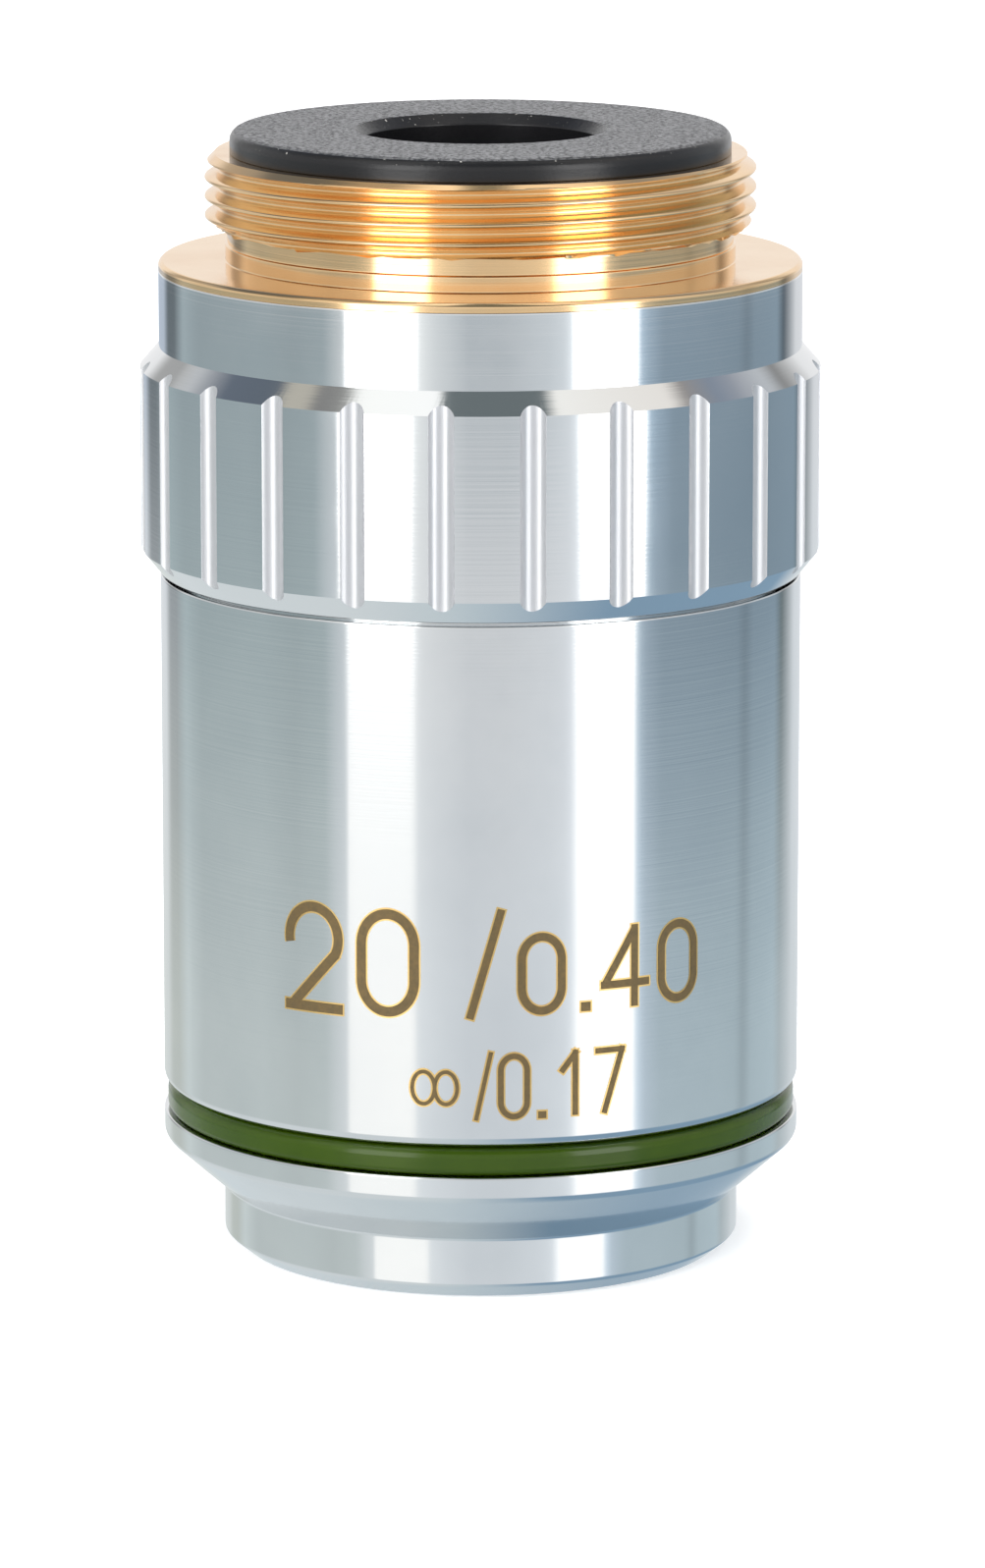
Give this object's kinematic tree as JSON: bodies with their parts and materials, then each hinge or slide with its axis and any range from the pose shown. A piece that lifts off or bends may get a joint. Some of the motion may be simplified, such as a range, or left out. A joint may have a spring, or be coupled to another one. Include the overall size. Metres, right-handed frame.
{
  "type": "microscope objective",
  "caption": "Microscope objective with fluted grip, plated sleeves, green ring, brass mounting thread, and a lens stack in its main tube.",
  "frame": {"origin": "centre of the flat nose face, on the optical axis", "axes": "+Z along the optical axis, from the nose towards the mounting thread; the pictured side faces -Y"},
  "size_m": [0.0252, 0.0252, 0.042],
  "materials": {
    "plated_brass": "bright nickel plate over turned brass, fine turning lines",
    "bare_brass": "bright turned brass, lacquered",
    "black_brass": "matt black oxide",
    "black_aluminium": "black, grained top and smooth sides",
    "green_enamel": "glossy green",
    "crown_glass": "polished and coated",
    "flint_glass": "polished and coated",
    "plain_steel": "ground"
  },
  "bodies": {
    "root": {"nose_cap": "plated_brass", "colour_ring": "green_enamel", "barrel_sleeve": "plated_brass", "grip_sleeve": "plated_brass", "main_tube": "black_brass", "parfocal_shim": "plain_steel", "thread_ring": "bare_brass", "rear_stop": "black_aluminium", "front_cell": "black_brass", "second_cell": "black_brass", "front_pair_cell": "black_brass", "pair_spacer": "black_brass", "rear_pair_cell": "black_brass", "rear_spacer": "black_brass", "rear_cell": "black_brass", "pupil_plate": "black_aluminium", "lock_ring": "black_aluminium", "centring_screws": "plain_steel", "front_lens": "crown_glass", "second_lens": "crown_glass", "front_crown_lens": "crown_glass", "front_flint_lens": "flint_glass", "rear_flint_lens": "flint_glass", "rear_crown_lens": "crown_glass", "rear_lens": "flint_glass"}
  },
  "joints": []
}
